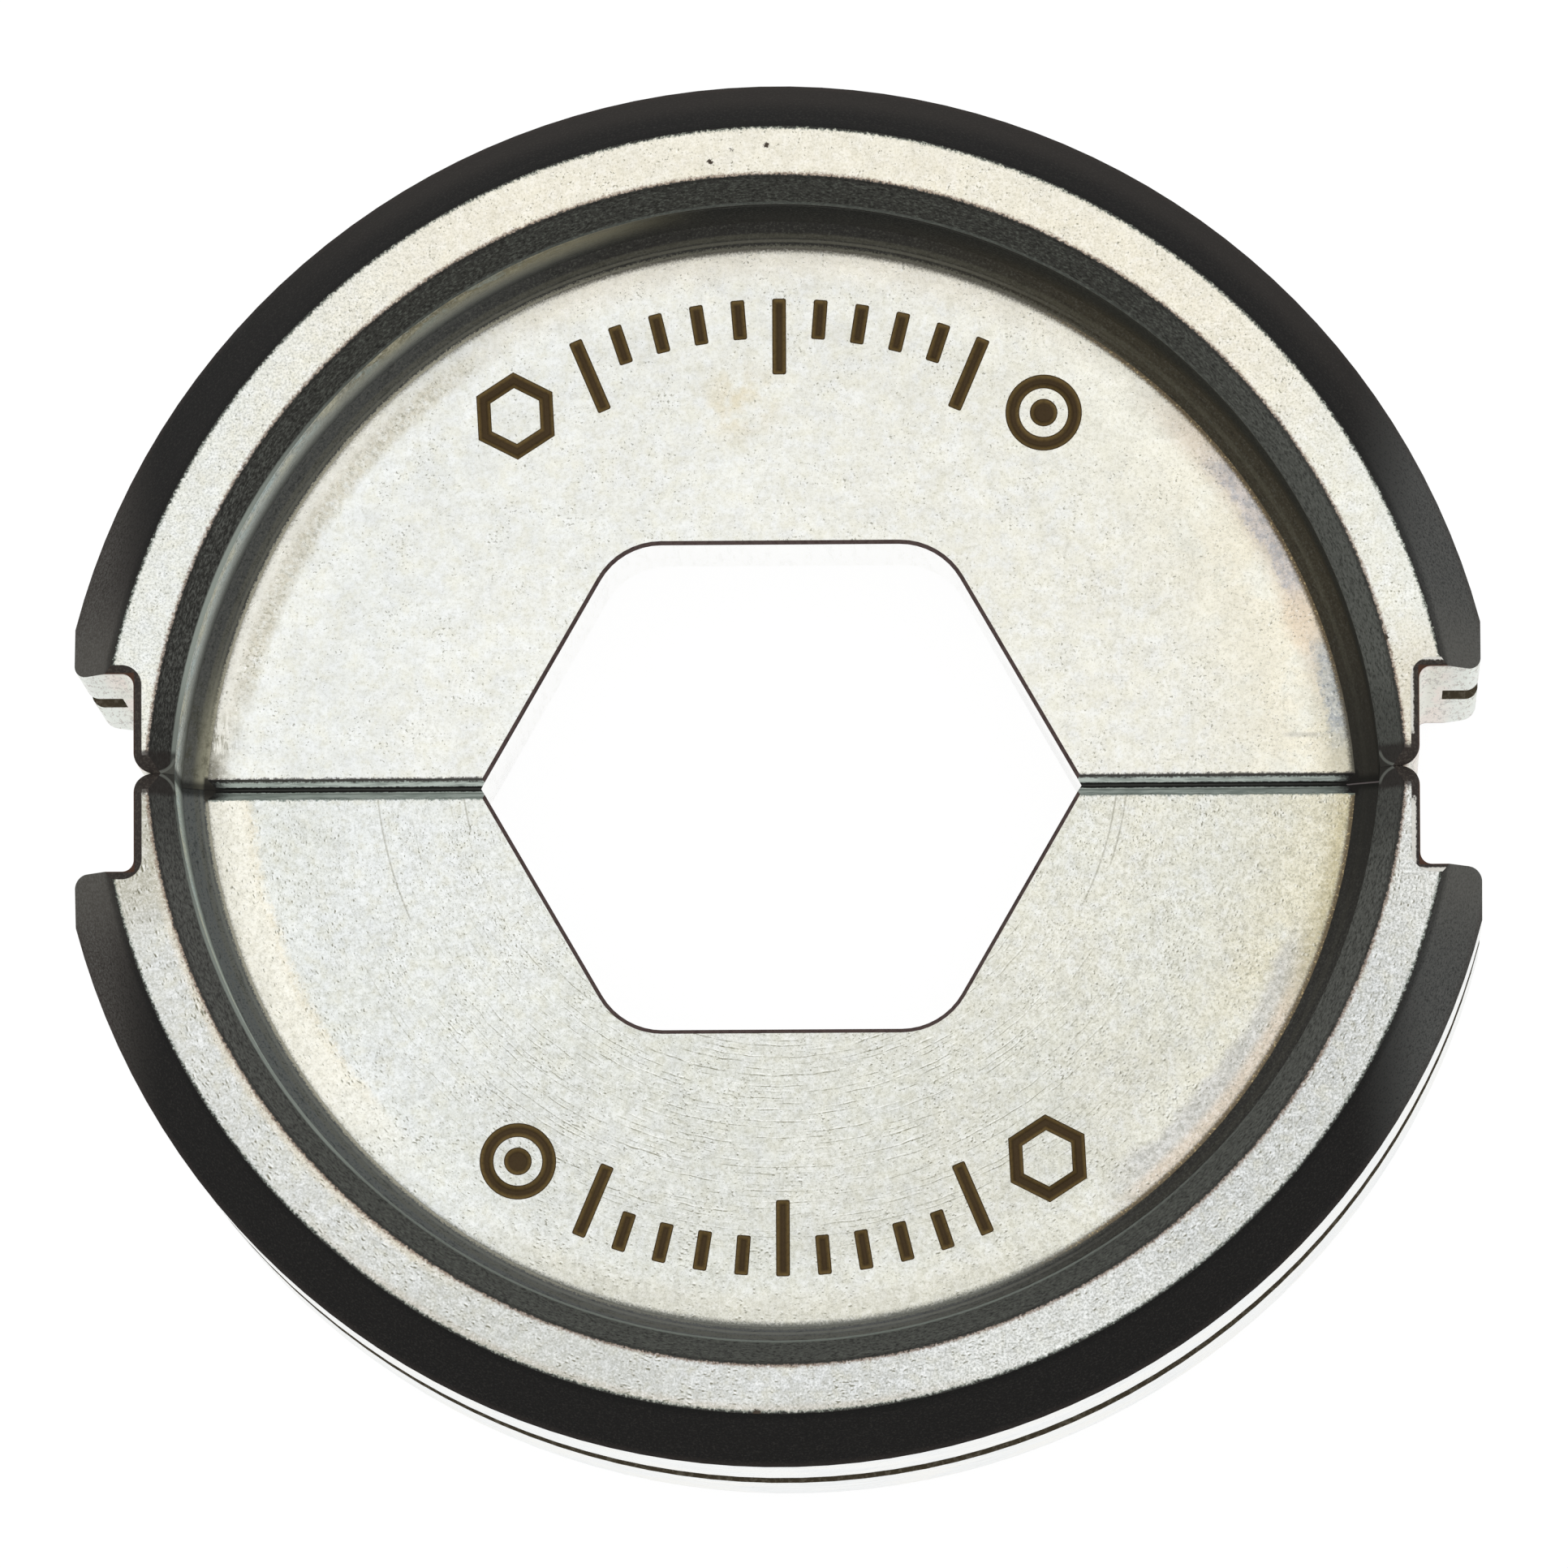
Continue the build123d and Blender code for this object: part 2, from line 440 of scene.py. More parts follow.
def rim_finish(side, pale, cool, warm, grit, pits):
    """The rim's flat ring: plating that ends in a thin brown line at the mouth bevel and a
    soft grey-green one at the seat bevel. The upper one is yellowish at the top and the lower
    one has cream stretches along both edges. Pits are small dark pits and nicks, each with
    its place and reach."""
    finish = plated("rim face", side, pale, cool, warm)
    radius, bearing = finish.radius, finish.bearing
    wander = finish.wobble(9.0, 0.28)
    edge = radius + wander
    finish.lay(radius.rise(19.6, 20.0) * 0.5, cool)
    if side == UPPER:
        finish.lay(bearing.band(84, 34, 25) * 0.5, (234, 224, 201))
        finish.lay(bearing.fall(11, 17) * 0.5, (208, 196, 170))
    else:
        finish.lay(bearing.fall(14, 24) * 0.4, (228, 228, 222))
        finish.lay(bearing.band(66, 6, 10) * 0.4, (230, 232, 228))
        finish.lay(bearing.band(112, 7, 9) * 0.4, (184, 186, 180))
        finish.lay(edge.fall(18.90, 19.15) * bearing.band(145, 18, 12) * 0.6, (216, 205, 182))
        finish.lay(edge.rise(19.85, 20.10) * bearing.band(104, 22, 14) * 0.45, (184, 172, 152))
        finish.lay(bearing.rise(161, 167) * 0.7, (180, 176, 158))
    fine = roughen(finish, grit, drawn=(side == LOWER))
    worn = finish.x.fall(-15, -7) if side == UPPER else finish.x.rise(-4, 6)
    finish.lay(fine.rise(0.45, 0.66) * worn * 0.35, (150, 154, 152))
    finish.lay(edge.fall(18.79, 18.90) * 0.8, (120, 96, 78))
    finish.lay(edge.fall(18.76, 18.80), (60, 58, 54))
    finish.lay(edge.rise(20.10, 20.20) * 0.9, (92, 102, 92))
    finish.lay(edge.rise(20.16, 20.22), (38, 37, 34))
    for x, y, reach in pits:
        finish.lay(finish.spot(x, y, reach * 0.8, 0.05, wander), (58, 48, 37))
    finish.lay((abs(finish.y) + wander).fall(0.58, 0.72) * 0.9, (58, 53, 50))
    return bright_steel(finish, fine)


def dark_bevel(name, side, middle, left, right, start, grain, drawn):
    """A dark turned bevel with a fine grain, which may lie along the turning direction. Its
    darkness is partly the bevel's own finish and partly painted reflection. It has its own tone
    at either end of the arc, a painted reflection, from start sideways and a little later on the
    left."""
    finish = DieFinish(name, side, middle)
    leftwards = -finish.x
    # tones at the ends of the arc: painted reflection
    finish.lay(finish.x.rise(start, 19.5), right)
    finish.lay(leftwards.rise(start + 1.2, 20.5), left)
    place = finish.place
    if drawn:
        place = finish.vector(finish.radius, finish.angle * 10.0, finish.z)
    fine = finish.grain(place, 13.0, 2.0, 0.8)
    finish.lay(fine.rise(0.50, 0.68) * 0.6, grain)
    finish.lay(fine.fall(0.32, 0.50) * 0.6, (22, 21, 20))
    # greyer grain at the ends of the arc: painted reflection
    ends = finish.x.rise(start + 1, 19.8) + leftwards.rise(start + 2, 20.5)
    finish.lay(fine.rise(0.46, 0.66) * ends * 0.55, (110, 110, 107))
    return finish


def seat_bevel_finish(side):
    """The outer bevel: near black, partly its own finish and partly painted reflection, greyer at
    both ends of the arc and towards the parting line as painted reflection, with a darker line
    along the rim face and a browner one along the seat."""
    finish = dark_bevel("seat bevel", side, middle=(27, 26, 25), left=(70, 66, 62),
                        right=(80, 81, 79), start=17.0, grain=(54, 52, 49), drawn=False)
    # greyer towards the parting line: painted reflection
    finish.lay(abs(finish.y).fall(3.0, 6.0) * 0.4, (108, 106, 100))
    if side == UPPER:
        # lighter over the top of the upper bevel: painted reflection
        painted_top_reflection = finish.radius.rise(20.6, 21.3) * finish.bearing.band(82, 35, 25)
        finish.lay(painted_top_reflection * 0.45, (64, 59, 55))
    finish.lay(finish.radius.fall(20.30, 20.48) * 0.5, (16, 16, 15))
    finish.lay(finish.radius.rise(21.50, 21.66) * 0.3, (66, 58, 54))
    return finish.dark_surface()


def mouth_bevel_finish(side, middle, left, right, line, wall):
    """The bevel round the mouth of the recess: dark grey and grainy, partly its own finish and
    partly painted reflection, with a thin painted highlight on its inner edge, which is wider at
    the left. Line is that highlight's share. The edge turns outwards round the lugs' inner
    corners, painted in the wall's tone, darker on the right, with a painted highlight along the
    rounding."""
    finish = dark_bevel("mouth bevel", side, middle, left, right, start=9,
                        grain=(108, 112, 104), drawn=True)
    past = abs(finish.y)
    finish.lay(finish.radius.rise(18.62, 18.74) * 0.5, (40, 38, 36))
    if side == UPPER:
        wider = finish.bearing.rise(130, 158) * 0.8
    else:
        wider = finish.bearing.band(150, 10, 10) * 0.35
    inner = finish.radius - wider * 0.10
    # painted highlight along the inner edge, wider on the left
    finish.lay(inner.fall(18.04, 18.08) * finish.bearing.rise(30, 70) * line, (146, 154, 146))
    finish.lay(inner.fall(18.02, 18.07) * wider, (180, 189, 180))
    finish.lay(past.fall(1.2, 3.4) * 0.35, (44, 44, 42))
    finish.lay(past.fall(0.55, 0.75) * 0.8, (50, 46, 44))
    # painted rounding of the lugs' inner corners: the wall's tone, darker on the right, and a
    # painted highlight along the curve
    lug_corner = 0.55           # how far a lug's inner corner is rounded
    inwards = (RECESS_RADIUS + lug_corner - finish.radius).highest(0.0)
    upwards = (lug_corner - past).highest(0.0)
    corner = (inwards * inwards + upwards * upwards) ** 0.5
    there = upwards.rise(0.0, 0.15)
    rounded_off = corner.rise(0.52, 0.56) * there
    finish.lay(rounded_off * 0.8, wall)
    finish.lay(rounded_off * finish.x.rise(-5, 5) * 0.8, (50, 48, 45))
    finish.lay(corner.band(0.53, 0.02, 0.04) * there * 0.4, (150, 154, 146))
    return finish.dark_surface()


def wall_streaks(finish, bright):
    """Faint yellow and blue patches and dusty streaks up the bright part of the wall, a painted
    highlight.
    """
    radius, angle, z = finish.radius, finish.angle, finish.z
    tint = finish.grain(finish.vector(radius, angle * 14.0, z * 0.4), 1.0, 3.0, 0.7)
    finish.lay(tint.rise(0.50, 0.62) * bright * 0.45, (246, 240, 206))
    finish.lay(tint.fall(0.38, 0.50) * bright * 0.45, (206, 232, 236))
    dust = finish.grain(finish.vector(radius * 3.0, angle * 170.0, z * 1.4), 1.0, 2.0, 0.8)
    finish.lay(dust.rise(0.48, 0.66) * bright * 0.35, (120, 126, 116))
    finish.lay(dust.fall(0.34, 0.50) * bright * 0.35, (255, 255, 250))


def dusty_end(finish):
    """Pale dust and dark patches at the left end of the wall's foot."""
    there = finish.bearing.rise(161, 175)
    patches = finish.grain(finish.place, 2.4, 3.0, 0.8)
    finish.lay(there * finish.height.fall(4.6, 8.2) * 0.25, (140, 141, 131))
    finish.lay(there * finish.radius.fall(17.45, 17.80) * 0.6, (196, 192, 166))
    finish.lay(there * patches.rise(0.46, 0.66) * 0.5, (84, 82, 64))


def recess_finish(side, wall, foot, fringe_tone):
    """The recess wall and the bevel at its foot, each with a tone at its left end, its middle
    and its right end, partly their own dark finish and partly painted reflection, brightest up
    the left of the wall. Over them lie fine lines, specks and streaks, a ragged light fringe
    where the foot meets the web, a painted highlight along the wall's top edge, and darker
    stretches along the parting line, painted shade between the halves."""
    finish = DieFinish("recess wall", side, foot[1])
    x, height, radius, bearing = finish.x, finish.height, finish.radius, finish.bearing
    left = x.fall(-14, -4)
    right = x.rise(2, 11)
    # tones at the foot's ends: partly its own, partly painted reflection
    finish.lay(left, foot[0])
    finish.lay(right, foot[2])
    # up the wall the tones change, a painted reflection that is brightest on the left
    upright = radius.rise(17.75, 17.99) * height.rise(3.8, 8.4)
    finish.lay(upright, wall[1])
    finish.lay(upright * x.fall(-13, -3), wall[0])
    finish.lay(upright * right, wall[2])
    if side == UPPER:
        yellowish = bearing.band(122, 7, 20) * height.rise(4.5, 8.5)
        finish.lay(radius.rise(17.9, 17.99) * yellowish, (160, 153, 126))
    lines = 1.0 - right * (0.3 if side == UPPER else 0.7)
    finish.lay(radius.band(17.62, 0.03, 0.08) * lines * 0.35, (124, 122, 106))
    finish.lay(height.band(8.55, 0.03, 0.08) * lines * 0.4, (104, 104, 100))
    drawn = finish.vector(radius * 8.0, finish.angle * 30.0, finish.z * 8.0)
    finish.lay(finish.grain(drawn, 1.0, 2.0, 0.8).rise(0.50, 0.72) * 0.35, (34, 33, 30))
    specks = finish.speckle(12.0)
    finish.lay(specks.rise(0.52, 0.66) * (left * 0.25 + 0.35), (116, 116, 108))
    finish.lay(specks.fall(0.34, 0.48) * (left * 0.20 + 0.25), (34, 33, 32))
    # the bright part is the painted highlight up the left of the wall
    wall_streaks(finish, upright * left * height.rise(5.5, 8.5))
    ragged = radius + finish.wobble(14.0, 0.26)
    fringe = ragged.fall(17.30, 17.40) + radius.band(17.48, 0.02, 0.04) * 0.6
    finish.lay(fringe * bearing.rise(44, 76) * 0.6, fringe_tone)
    finish.lay(ragged.fall(17.34, 17.42) * bearing.rise(95, 135) * 0.7, (216, 211, 190))
    # lighter band at the wall's top edge: painted highlight
    finish.lay(height.rise(8.88, 8.96) * 0.4, (146, 146, 138))
    if side == UPPER:
        dusty_end(finish)
    past = abs(finish.y)
    # darker at the right end, and along the parting line painted shade between the halves
    finish.lay(bearing.fall(4, 26) * 0.8, (58, 57, 54))
    finish.lay(past.fall(0.10, 0.32) * 0.75, (40, 40, 38))
    finish.lay(past.fall(0.32, 0.44) * radius.fall(17.36, 17.44) * 0.9, (48, 46, 44))
    if side == LOWER:
        # thin painted highlight along the parting edge on the right
        finish.lay(finish.y.rise(-0.06, -0.03) * bearing.fall(12, 30), (122, 114, 114))
    return finish.dark_surface(sheen=0.0)


def parting_finish(side):
    """The broken edges along the parting line: a dark line along the upper web, a pale
    green-grey band, and a black double line where the halves meet, painted shadow of the gap
    between them. Towards the recess and the rim they darken too, painted shade between the
    halves."""
    finish = DieFinish("parting face", side, (228, 238, 230))
    past = abs(finish.y)
    streaks = finish.vector(finish.x * 1.2, finish.y * 9.0, finish.z * 9.0)
    finish.lay(finish.grain(streaks, 1.0, 3.0, 0.7).rise(0.40, 0.66) * 0.6, (128, 140, 132))
    rough = finish.wobble(9.0, 0.16)
    if side == UPPER:
        finish.lay((past + rough).rise(0.19, 0.25) * 0.95, (62, 56, 52))
    else:
        finish.lay(past.rise(0.10, 0.16) * 0.45, (84, 96, 90))
        finish.lay(past.band(0.13, 0.01, 0.04) * 0.6, (84, 92, 84))
        finish.lay((past + rough).rise(0.26, 0.32) * 0.7, (92, 102, 94))
    # black line where the halves meet: painted shadow of the gap
    finish.lay((past + rough * 0.4).fall(0.07, 0.10), (24, 24, 22))
    finish.lay(past.fall(0.015, 0.03) * 0.5, (120, 122, 116))
    # darker out from the recess: painted shade between the halves
    finish.lay((abs(finish.x) + rough * 4).rise(16.5, 17.15), (48, 46, 44))
    return finish.surface(Metallic=0.2, Roughness=0.5)


def notch_finish(side):
    """The notch faces: bright, with cream and pink tints and grey specks."""
    finish = DieFinish("notch", side, (228, 228, 214))
    drawn = finish.vector(finish.x, finish.y, finish.z * 0.12)
    finish.lay(finish.grain(drawn, 1.6, 2.0).rise(0.46, 0.60) * 0.7, (238, 220, 209))
    finish.lay(abs(finish.x).rise(19.7, 20.4) * 0.8, (226, 234, 226))
    fine = finish.grain(drawn, 8.0, 2.0, 0.8)
    finish.lay(fine.rise(0.52, 0.66) * 0.8, (150, 140, 124))
    cracks = finish.grain(finish.place, 2.2, 2.0, 0.7).band(0.5, 0.004, 0.016)
    finish.lay(cracks * finish.grain(finish.place, 1.1, 1.0).rise(0.5, 0.6) * 0.7, (84, 82, 74))
    finish.lay(finish.height.rise(9.2, 9.8) * 0.6, (120, 96, 88))
    return finish.surface(Metallic=0.7, Roughness=0.3)


def edge_finish(side):
    """The broken edge round the notch: dark, brown at its very edge, and on the right plated
    like the rim along its inner side, past a bare width."""
    finish = DieFinish("broken edge", side, (60, 55, 52))
    fine = finish.speckle(10.0)
    finish.lay(fine.rise(0.46, 0.66) * 0.4, (104, 98, 90))
    bare = 0.15 if side == UPPER else 0.10
    ragged = finish.notch_gap() + (fine - 0.5) * 0.12
    plating = ragged.rise(bare, bare + 0.05) * finish.x.rise(0, 5)
    plating = plating * (abs(finish.y) + (fine - 0.5) * 0.5).rise(0.9, 1.1)
    finish.lay(plating * 0.9, (250, 248, 240))
    finish.lay(plating * fine.rise(0.46, 0.66) * 0.35, (190, 188, 176))
    finish.lay(finish.notch_gap().fall(0.01, 0.05) * 0.8, (88, 60, 46))
    return finish.dark_surface()


def mark_finish(side):
    """The engraved strokes: dark brown on the floor, golden up the sides, with a dark rim."""
    finish = DieFinish("mark", side, (82, 67, 47))
    depth = HALF_WEB - finish.height
    finish.lay(depth.fall(0.03, 0.118), (124, 103, 64))
    finish.lay(depth.fall(0.015, 0.03), (88, 72, 49))
    finish.lay(finish.speckle(9.0).rise(0.45, 0.70) * 0.4, (70, 56, 38))
    return finish.dark_surface(roughness=0.6)


def plain_finish(name, side, tone, grain):
    """A dark tone with a fine grain: painted shade in the groove, partly painted reflection on
    the hexagon's edge.
    """
    finish = DieFinish(name, side, tone)
    fine = finish.grain(finish.place, 6.0, 3.0, 0.6)
    finish.lay(fine.rise(0.46, 0.66) * 0.6, grain)
    return finish.dark_surface()


def seat_finish(side):
    """The seat and the side flats: bright plating over fine turning lines, with warm and cool
    clouds and small grey pits."""
    finish = DieFinish("seat", side, (241, 243, 242))
    turned = finish.vector(finish.x * 0.25, finish.y * 0.25, finish.z * 9.0)
    lines = finish.grain(turned, 1.0, 3.0, 0.7)
    clouds = finish.grain(finish.place, 0.4, 3.0, 0.6)
    finish.lay(clouds.rise(0.46, 0.62) * 0.5, (247, 244, 234))
    finish.lay(clouds.fall(0.36, 0.50) * 0.5, (229, 233, 235))
    finish.lay(lines.rise(0.48, 0.64) * 0.4, (204, 207, 203))
    pits = finish.grain(finish.place, 7.0, 2.0, 0.7)
    finish.lay(pits.rise(0.62, 0.72) * 0.6, (142, 140, 126))
    relief = {"Strength": 0.1, "Distance": 0.00002, "Height": lines}
    bump = finish.node("ShaderNodeBump", {}, relief)
    return finish.surface(Metallic=0.95, Roughness=lines * 0.16 + 0.16, Normal=bump)


def bore_finish(side):
    """The walls of the crimping profile: smooth and bright, with faint marks of the cutter
    along the die axis."""
    finish = DieFinish("hexagon wall", side, (251, 251, 249))
    cut = finish.vector(finish.x * 5.0, finish.y * 5.0, finish.z * 0.3)
    lines = finish.grain(cut, 1.0, 3.0, 0.7)
    finish.lay(lines.rise(0.46, 0.66) * 0.35, (230, 231, 227))
    fine = finish.grain(finish.place, 7.0, 2.0, 0.7)
    finish.lay(fine.rise(0.60, 0.72) * 0.3, (196, 196, 188))
    return finish.surface(Metallic=1.0, Roughness=lines * 0.12 + 0.1)


# The two halves

def finish_of(face, side):
    """The finish that a face of a half gets, from where it lies and which way it looks."""
    centre = face.calc_center_median() / MM
    x, y, height = centre.x * side, centre.y * side, abs(centre.z - MID_HEIGHT)
    level = abs(face.normal.z)
    radius = math.hypot(x, y + SETBACK)
    outward = side * (face.normal.x * x + face.normal.y * (y + SETBACK)) / radius
    if level > SQUARE:
        if height > HALF_WIDTH - SLACK:
            return RIM
        return WEB if height > HALF_WEB - SLACK else GROOVE
    if level > LEANING:
        if radius > RIM_OUTER - SLACK and outward > 0.7:
            return SEAT_BEVEL
        if RECESS_RADIUS - 2 * SLACK < radius < RIM_INNER + 2 * SLACK and outward < -0.5:
            return MOUTH_BEVEL
        if radius < RECESS_RADIUS + 2 * SLACK and height > HALF_WEB and outward < -0.5:
            return RECESS
        return PARTING if height < HALF_WEB + 2 * SLACK else EDGE
    if outward > SQUARE and radius > GROOVE_FLOOR - 2 * SLACK:
        return SEAT if radius > SEAT_RADIUS - 2 * SLACK else GROOVE
    if outward < -SQUARE and radius > WEB_EDGE:
        return RECESS
    if y < CLOSE:
        return PARTING
    if abs(x) > FLAT - CLOSE:
        return SEAT
    return BORE if radius < HEXAGON_REACH else NOTCH


def stroke_cutter(length):
    """A straight stroke along Y, narrower at its floor than at its top."""
    work = bmesh.new()
    bmesh.ops.create_cube(work, size=1.0)
    bmesh.ops.scale(work, verts=work.verts, vec=(MARK_STROKE, length, 1.0))
    upright_edges = [edge for edge in work.edges
                     if abs(edge.verts[0].co.z - edge.verts[1].co.z) > 0.5]
    bmesh.ops.bevel(work, geom=upright_edges, offset=MARK_ROUNDING, offset_type="OFFSET",
                    segments=3, profile=0.5, affect="EDGES", material=-1)
    for upright in (-1, 1):
        lean = 2 * upright * MARK_SLOPE
        level = [vert for vert in work.verts if vert.co.z * upright > 0]
        bmesh.ops.scale(work, verts=level,
                        vec=(1 + lean / MARK_STROKE, 1 + lean / length, 2 * MARK_DEPTH))
    return work


def ring_cutter(corners):
    """A ring, or with few corners a plain polygon, of one stroke with the same slopes."""
    work = bmesh.new()
    mitre = 1 / math.cos(math.pi / corners)
    middle = (MARK_HEIGHT - MARK_STROKE) / 2 * mitre
    across = MARK_STROKE / 2 * mitre
    corner_offsets = ((-across - MARK_SLOPE, MARK_DEPTH), (across + MARK_SLOPE, MARK_DEPTH),
                      (across - MARK_SLOPE, -MARK_DEPTH), (MARK_SLOPE - across, -MARK_DEPTH))
    verts = [work.verts.new((middle + out, 0, up)) for out, up in corner_offsets]
    section = work.faces.new(verts)
    edges = list(section.edges)
    work.faces.remove(section)
    bmesh.ops.spin(work, geom=verts + edges, cent=(0, 0, 0), axis=(0, 0, 1), angle=math.tau,
                   steps=corners, use_merge=True)
    bmesh.ops.remove_doubles(work, verts=work.verts, dist=0.001)
    bmesh.ops.recalc_face_normals(work, faces=work.faces)
    return work


def dot_cutter():
    """A round dot, with the same slope."""
    work = bmesh.new()
    bmesh.ops.create_cone(work, cap_ends=True, segments=24, radius1=MARK_STROKE - MARK_SLOPE,
                          radius2=MARK_STROKE + MARK_SLOPE, depth=2 * MARK_DEPTH)
    return work


def scale_marks():
    """The marks of a half, each with its bearing from the half's middle in degrees and its
    shift outwards, which brings the short strokes' outer ends in line with the long ones."""
    marks = []
    for step in range(SCALE_STEPS + 1):
        length = MARK_HEIGHT if step % LONG_EVERY == 0 else SHORT_MARK
        bearing = (step - SCALE_STEPS / 2) * SCALE_STEP
        marks.append((stroke_cutter(length), bearing, (MARK_HEIGHT - length) / 2))
    marks.append((ring_cutter(corners=6), -END_BEARING, 0))
    marks.append((ring_cutter(corners=48), END_BEARING, 0))
    marks.append((dot_cutter(), END_BEARING, 0))
    return marks


def marks_cutter(side):
    """All marks of a half as one object, set into the web's face."""
    whole = bmesh.new()
    half_turn = Matrix.Rotation(0 if side == UPPER else math.pi, 4, "Z")
    for mark, bearing, outwards in scale_marks():
        swing = Matrix.Rotation(-math.radians(bearing), 4, "Z")
        out = Matrix.Translation((0, MARK_RADIUS + outwards, 0))
        centre = Matrix.Translation((0, -SETBACK, MID_HEIGHT + HALF_WEB))
        mark.transform(Matrix.Scale(MM, 4) @ half_turn @ centre @ swing @ out)
        for face in mark.faces:
            face.material_index = MARK
        piece = bpy.data.meshes.new("mark")
        mark.to_mesh(piece)
        mark.free()
        whole.from_mesh(piece)
        bpy.data.meshes.remove(piece)
    mesh = bpy.data.meshes.new("marks cutter")
    whole.to_mesh(mesh)
    whole.free()
    return bpy.data.objects.new("marks cutter", mesh)


def engrave(half, side):
    """Cuts the marks into a half's web."""
    cutter = marks_cutter(side)
    bpy.context.scene.collection.objects.link(cutter)
    cut = half.modifiers.new("marks", "BOOLEAN")
    cut.operation = "DIFFERENCE"
    cut.solver = "EXACT"
    cut.object = cutter
    settled = half.evaluated_get(bpy.context.evaluated_depsgraph_get())
    engraved = bpy.data.meshes.new_from_object(settled)
    half.modifiers.remove(cut)
    plain = half.data
    half.data = engraved
    engraved.name = half.name
    for leftover in (cutter.data, plain):   # the cutter goes with its mesh
        bpy.data.meshes.remove(leftover)


def smooth_shading(mesh):
    """Shades a mesh smooth, apart from its sharper edges and its level faces."""
    level = 0.999               # of Z in a level face's normal, at least
    work = bmesh.new()
    work.from_mesh(mesh)
    for edge in work.edges:
        edge.smooth = edge.calc_face_angle(0.0) < math.radians(SMOOTH_TO)
    for face in work.faces:
        face.smooth = abs(face.normal.z) < level
    work.to_mesh(mesh)
    work.free()


def finished_half(name, node, side, finishes):
    """A copy of a packed half with its triangles joined into whole faces and its sharp edges
    rounded, in the finishes of its faces."""
    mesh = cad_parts[node].data.copy()
    mesh.name = name
    work = bmesh.new()
    work.from_mesh(mesh)
    bmesh.ops.remove_doubles(work, verts=work.verts, dist=SAME_CORNER * MM)
    bmesh.ops.dissolve_limit(work, angle_limit=math.radians(SAME_FACE), verts=work.verts,
                             edges=work.edges)
    for face in work.faces:
        face.material_index = finish_of(face, side)
    brink = [edge for edge in work.edges
             if {face.material_index for face in edge.link_faces} == {WEB, BORE}]
    bmesh.ops.bevel(work, geom=brink, offset=HEXAGON_BREAK * MM, offset_type="OFFSET", segments=1,
                    profile=0.5, affect="EDGES", clamp_overlap=True, material=BRINK)
    sharp = [edge for edge in work.edges
             if edge.is_manifold and edge.calc_face_angle() > math.radians(SHARP_FROM)
             and BRINK not in {face.material_index for face in edge.link_faces}]
    bmesh.ops.bevel(work, geom=sharp, offset=EDGE_BREAK * MM, offset_type="OFFSET", segments=2,
                    profile=0.5, affect="EDGES", clamp_overlap=True, material=-1)
    mesh.materials.clear()
    for number in range(FINISHES):
        mesh.materials.append(finishes[number])
    work.to_mesh(mesh)
    work.free()
    half = bpy.data.objects.new(name, mesh)
    bpy.context.scene.collection.objects.link(half)
    engrave(half, side)
    smooth_shading(half.data)
    weighted = half.modifiers.new("even faces", "WEIGHTED_NORMAL")
    weighted.keep_sharp = True
    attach(half, "root")
    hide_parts(node)


def die_finishes(side, web, rim, mouth, recess):
    """One half's finishes, by the number that finish_of gives."""
    return {
        WEB: web,
        RIM: rim,
        SEAT_BEVEL: seat_bevel_finish(side),
        MOUTH_BEVEL: mouth,
        RECESS: recess,
        SEAT: seat_finish(side),
        # dark brown: painted shade of the groove's hollow
        GROOVE: plain_finish("groove", side, (84, 76, 62), (134, 127, 112)),
        BORE: bore_finish(side),
        PARTING: parting_finish(side),
        EDGE: edge_finish(side),
        NOTCH: notch_finish(side),
        # dark brown: partly painted reflection on the hexagon's broken edge
        BRINK: plain_finish("hexagon edge", side, (96, 82, 79), (72, 58, 56)),
        MARK: mark_finish(side),
    }


finished_half("upper_half", "upper_die_half", UPPER, die_finishes(
    UPPER,
    upper_web_finish(pale=(234, 234, 226), cool=(232, 234, 230), warm=(233, 231, 219),
                     grit=0.7),
    rim_finish(UPPER, pale=(231, 228, 214), cool=(226, 228, 222), warm=(228, 228, 218),
               grit=0.9, pits=((-0.22, 18.66, 0.07), (-1.89, 18.15, 0.06),
                               (-1.26, 18.53, 0.02), (-2.81, 19.14, 0.08),
                               (18.17, 3.80, 0.08))),
    # bevel and wall tones: partly their own, partly painted reflection, brightest on the wall's
    # left
    mouth_bevel_finish(UPPER, middle=(66, 66, 62), left=(64, 64, 61), right=(97, 99, 94),
                       line=0.2, wall=(92, 92, 86)),
    recess_finish(UPPER, wall=((244, 250, 243), (54, 54, 52), (62, 62, 57)),
                  foot=((93, 94, 92), (66, 65, 62), (80, 75, 63)),
                  fringe_tone=(150, 148, 132))))
finished_half("lower_half", "lower_die_half", LOWER, die_finishes(
    LOWER,
    lower_web_finish(pale=(221, 223, 214), cool=(228, 231, 229), warm=(229, 227, 213),
                     grit=1.1),
    rim_finish(LOWER, pale=(199, 201, 198), cool=(207, 209, 205), warm=(199, 201, 199),
               grit=1.45, pits=((-0.66, -19.20, 0.10),)),
    # bevel and wall tones: partly their own, partly painted reflection, brightest on the wall's
    # left
    mouth_bevel_finish(LOWER, middle=(84, 85, 81), left=(86, 86, 83), right=(90, 91, 87),
                       line=0.6, wall=(64, 64, 60)),
    recess_finish(LOWER, wall=((226, 238, 228), (120, 120, 116), (70, 70, 66)),
                  foot=((114, 118, 117), (110, 112, 111), (72, 71, 68)),
                  fringe_tone=(156, 156, 144))))


# Floor, light and camera

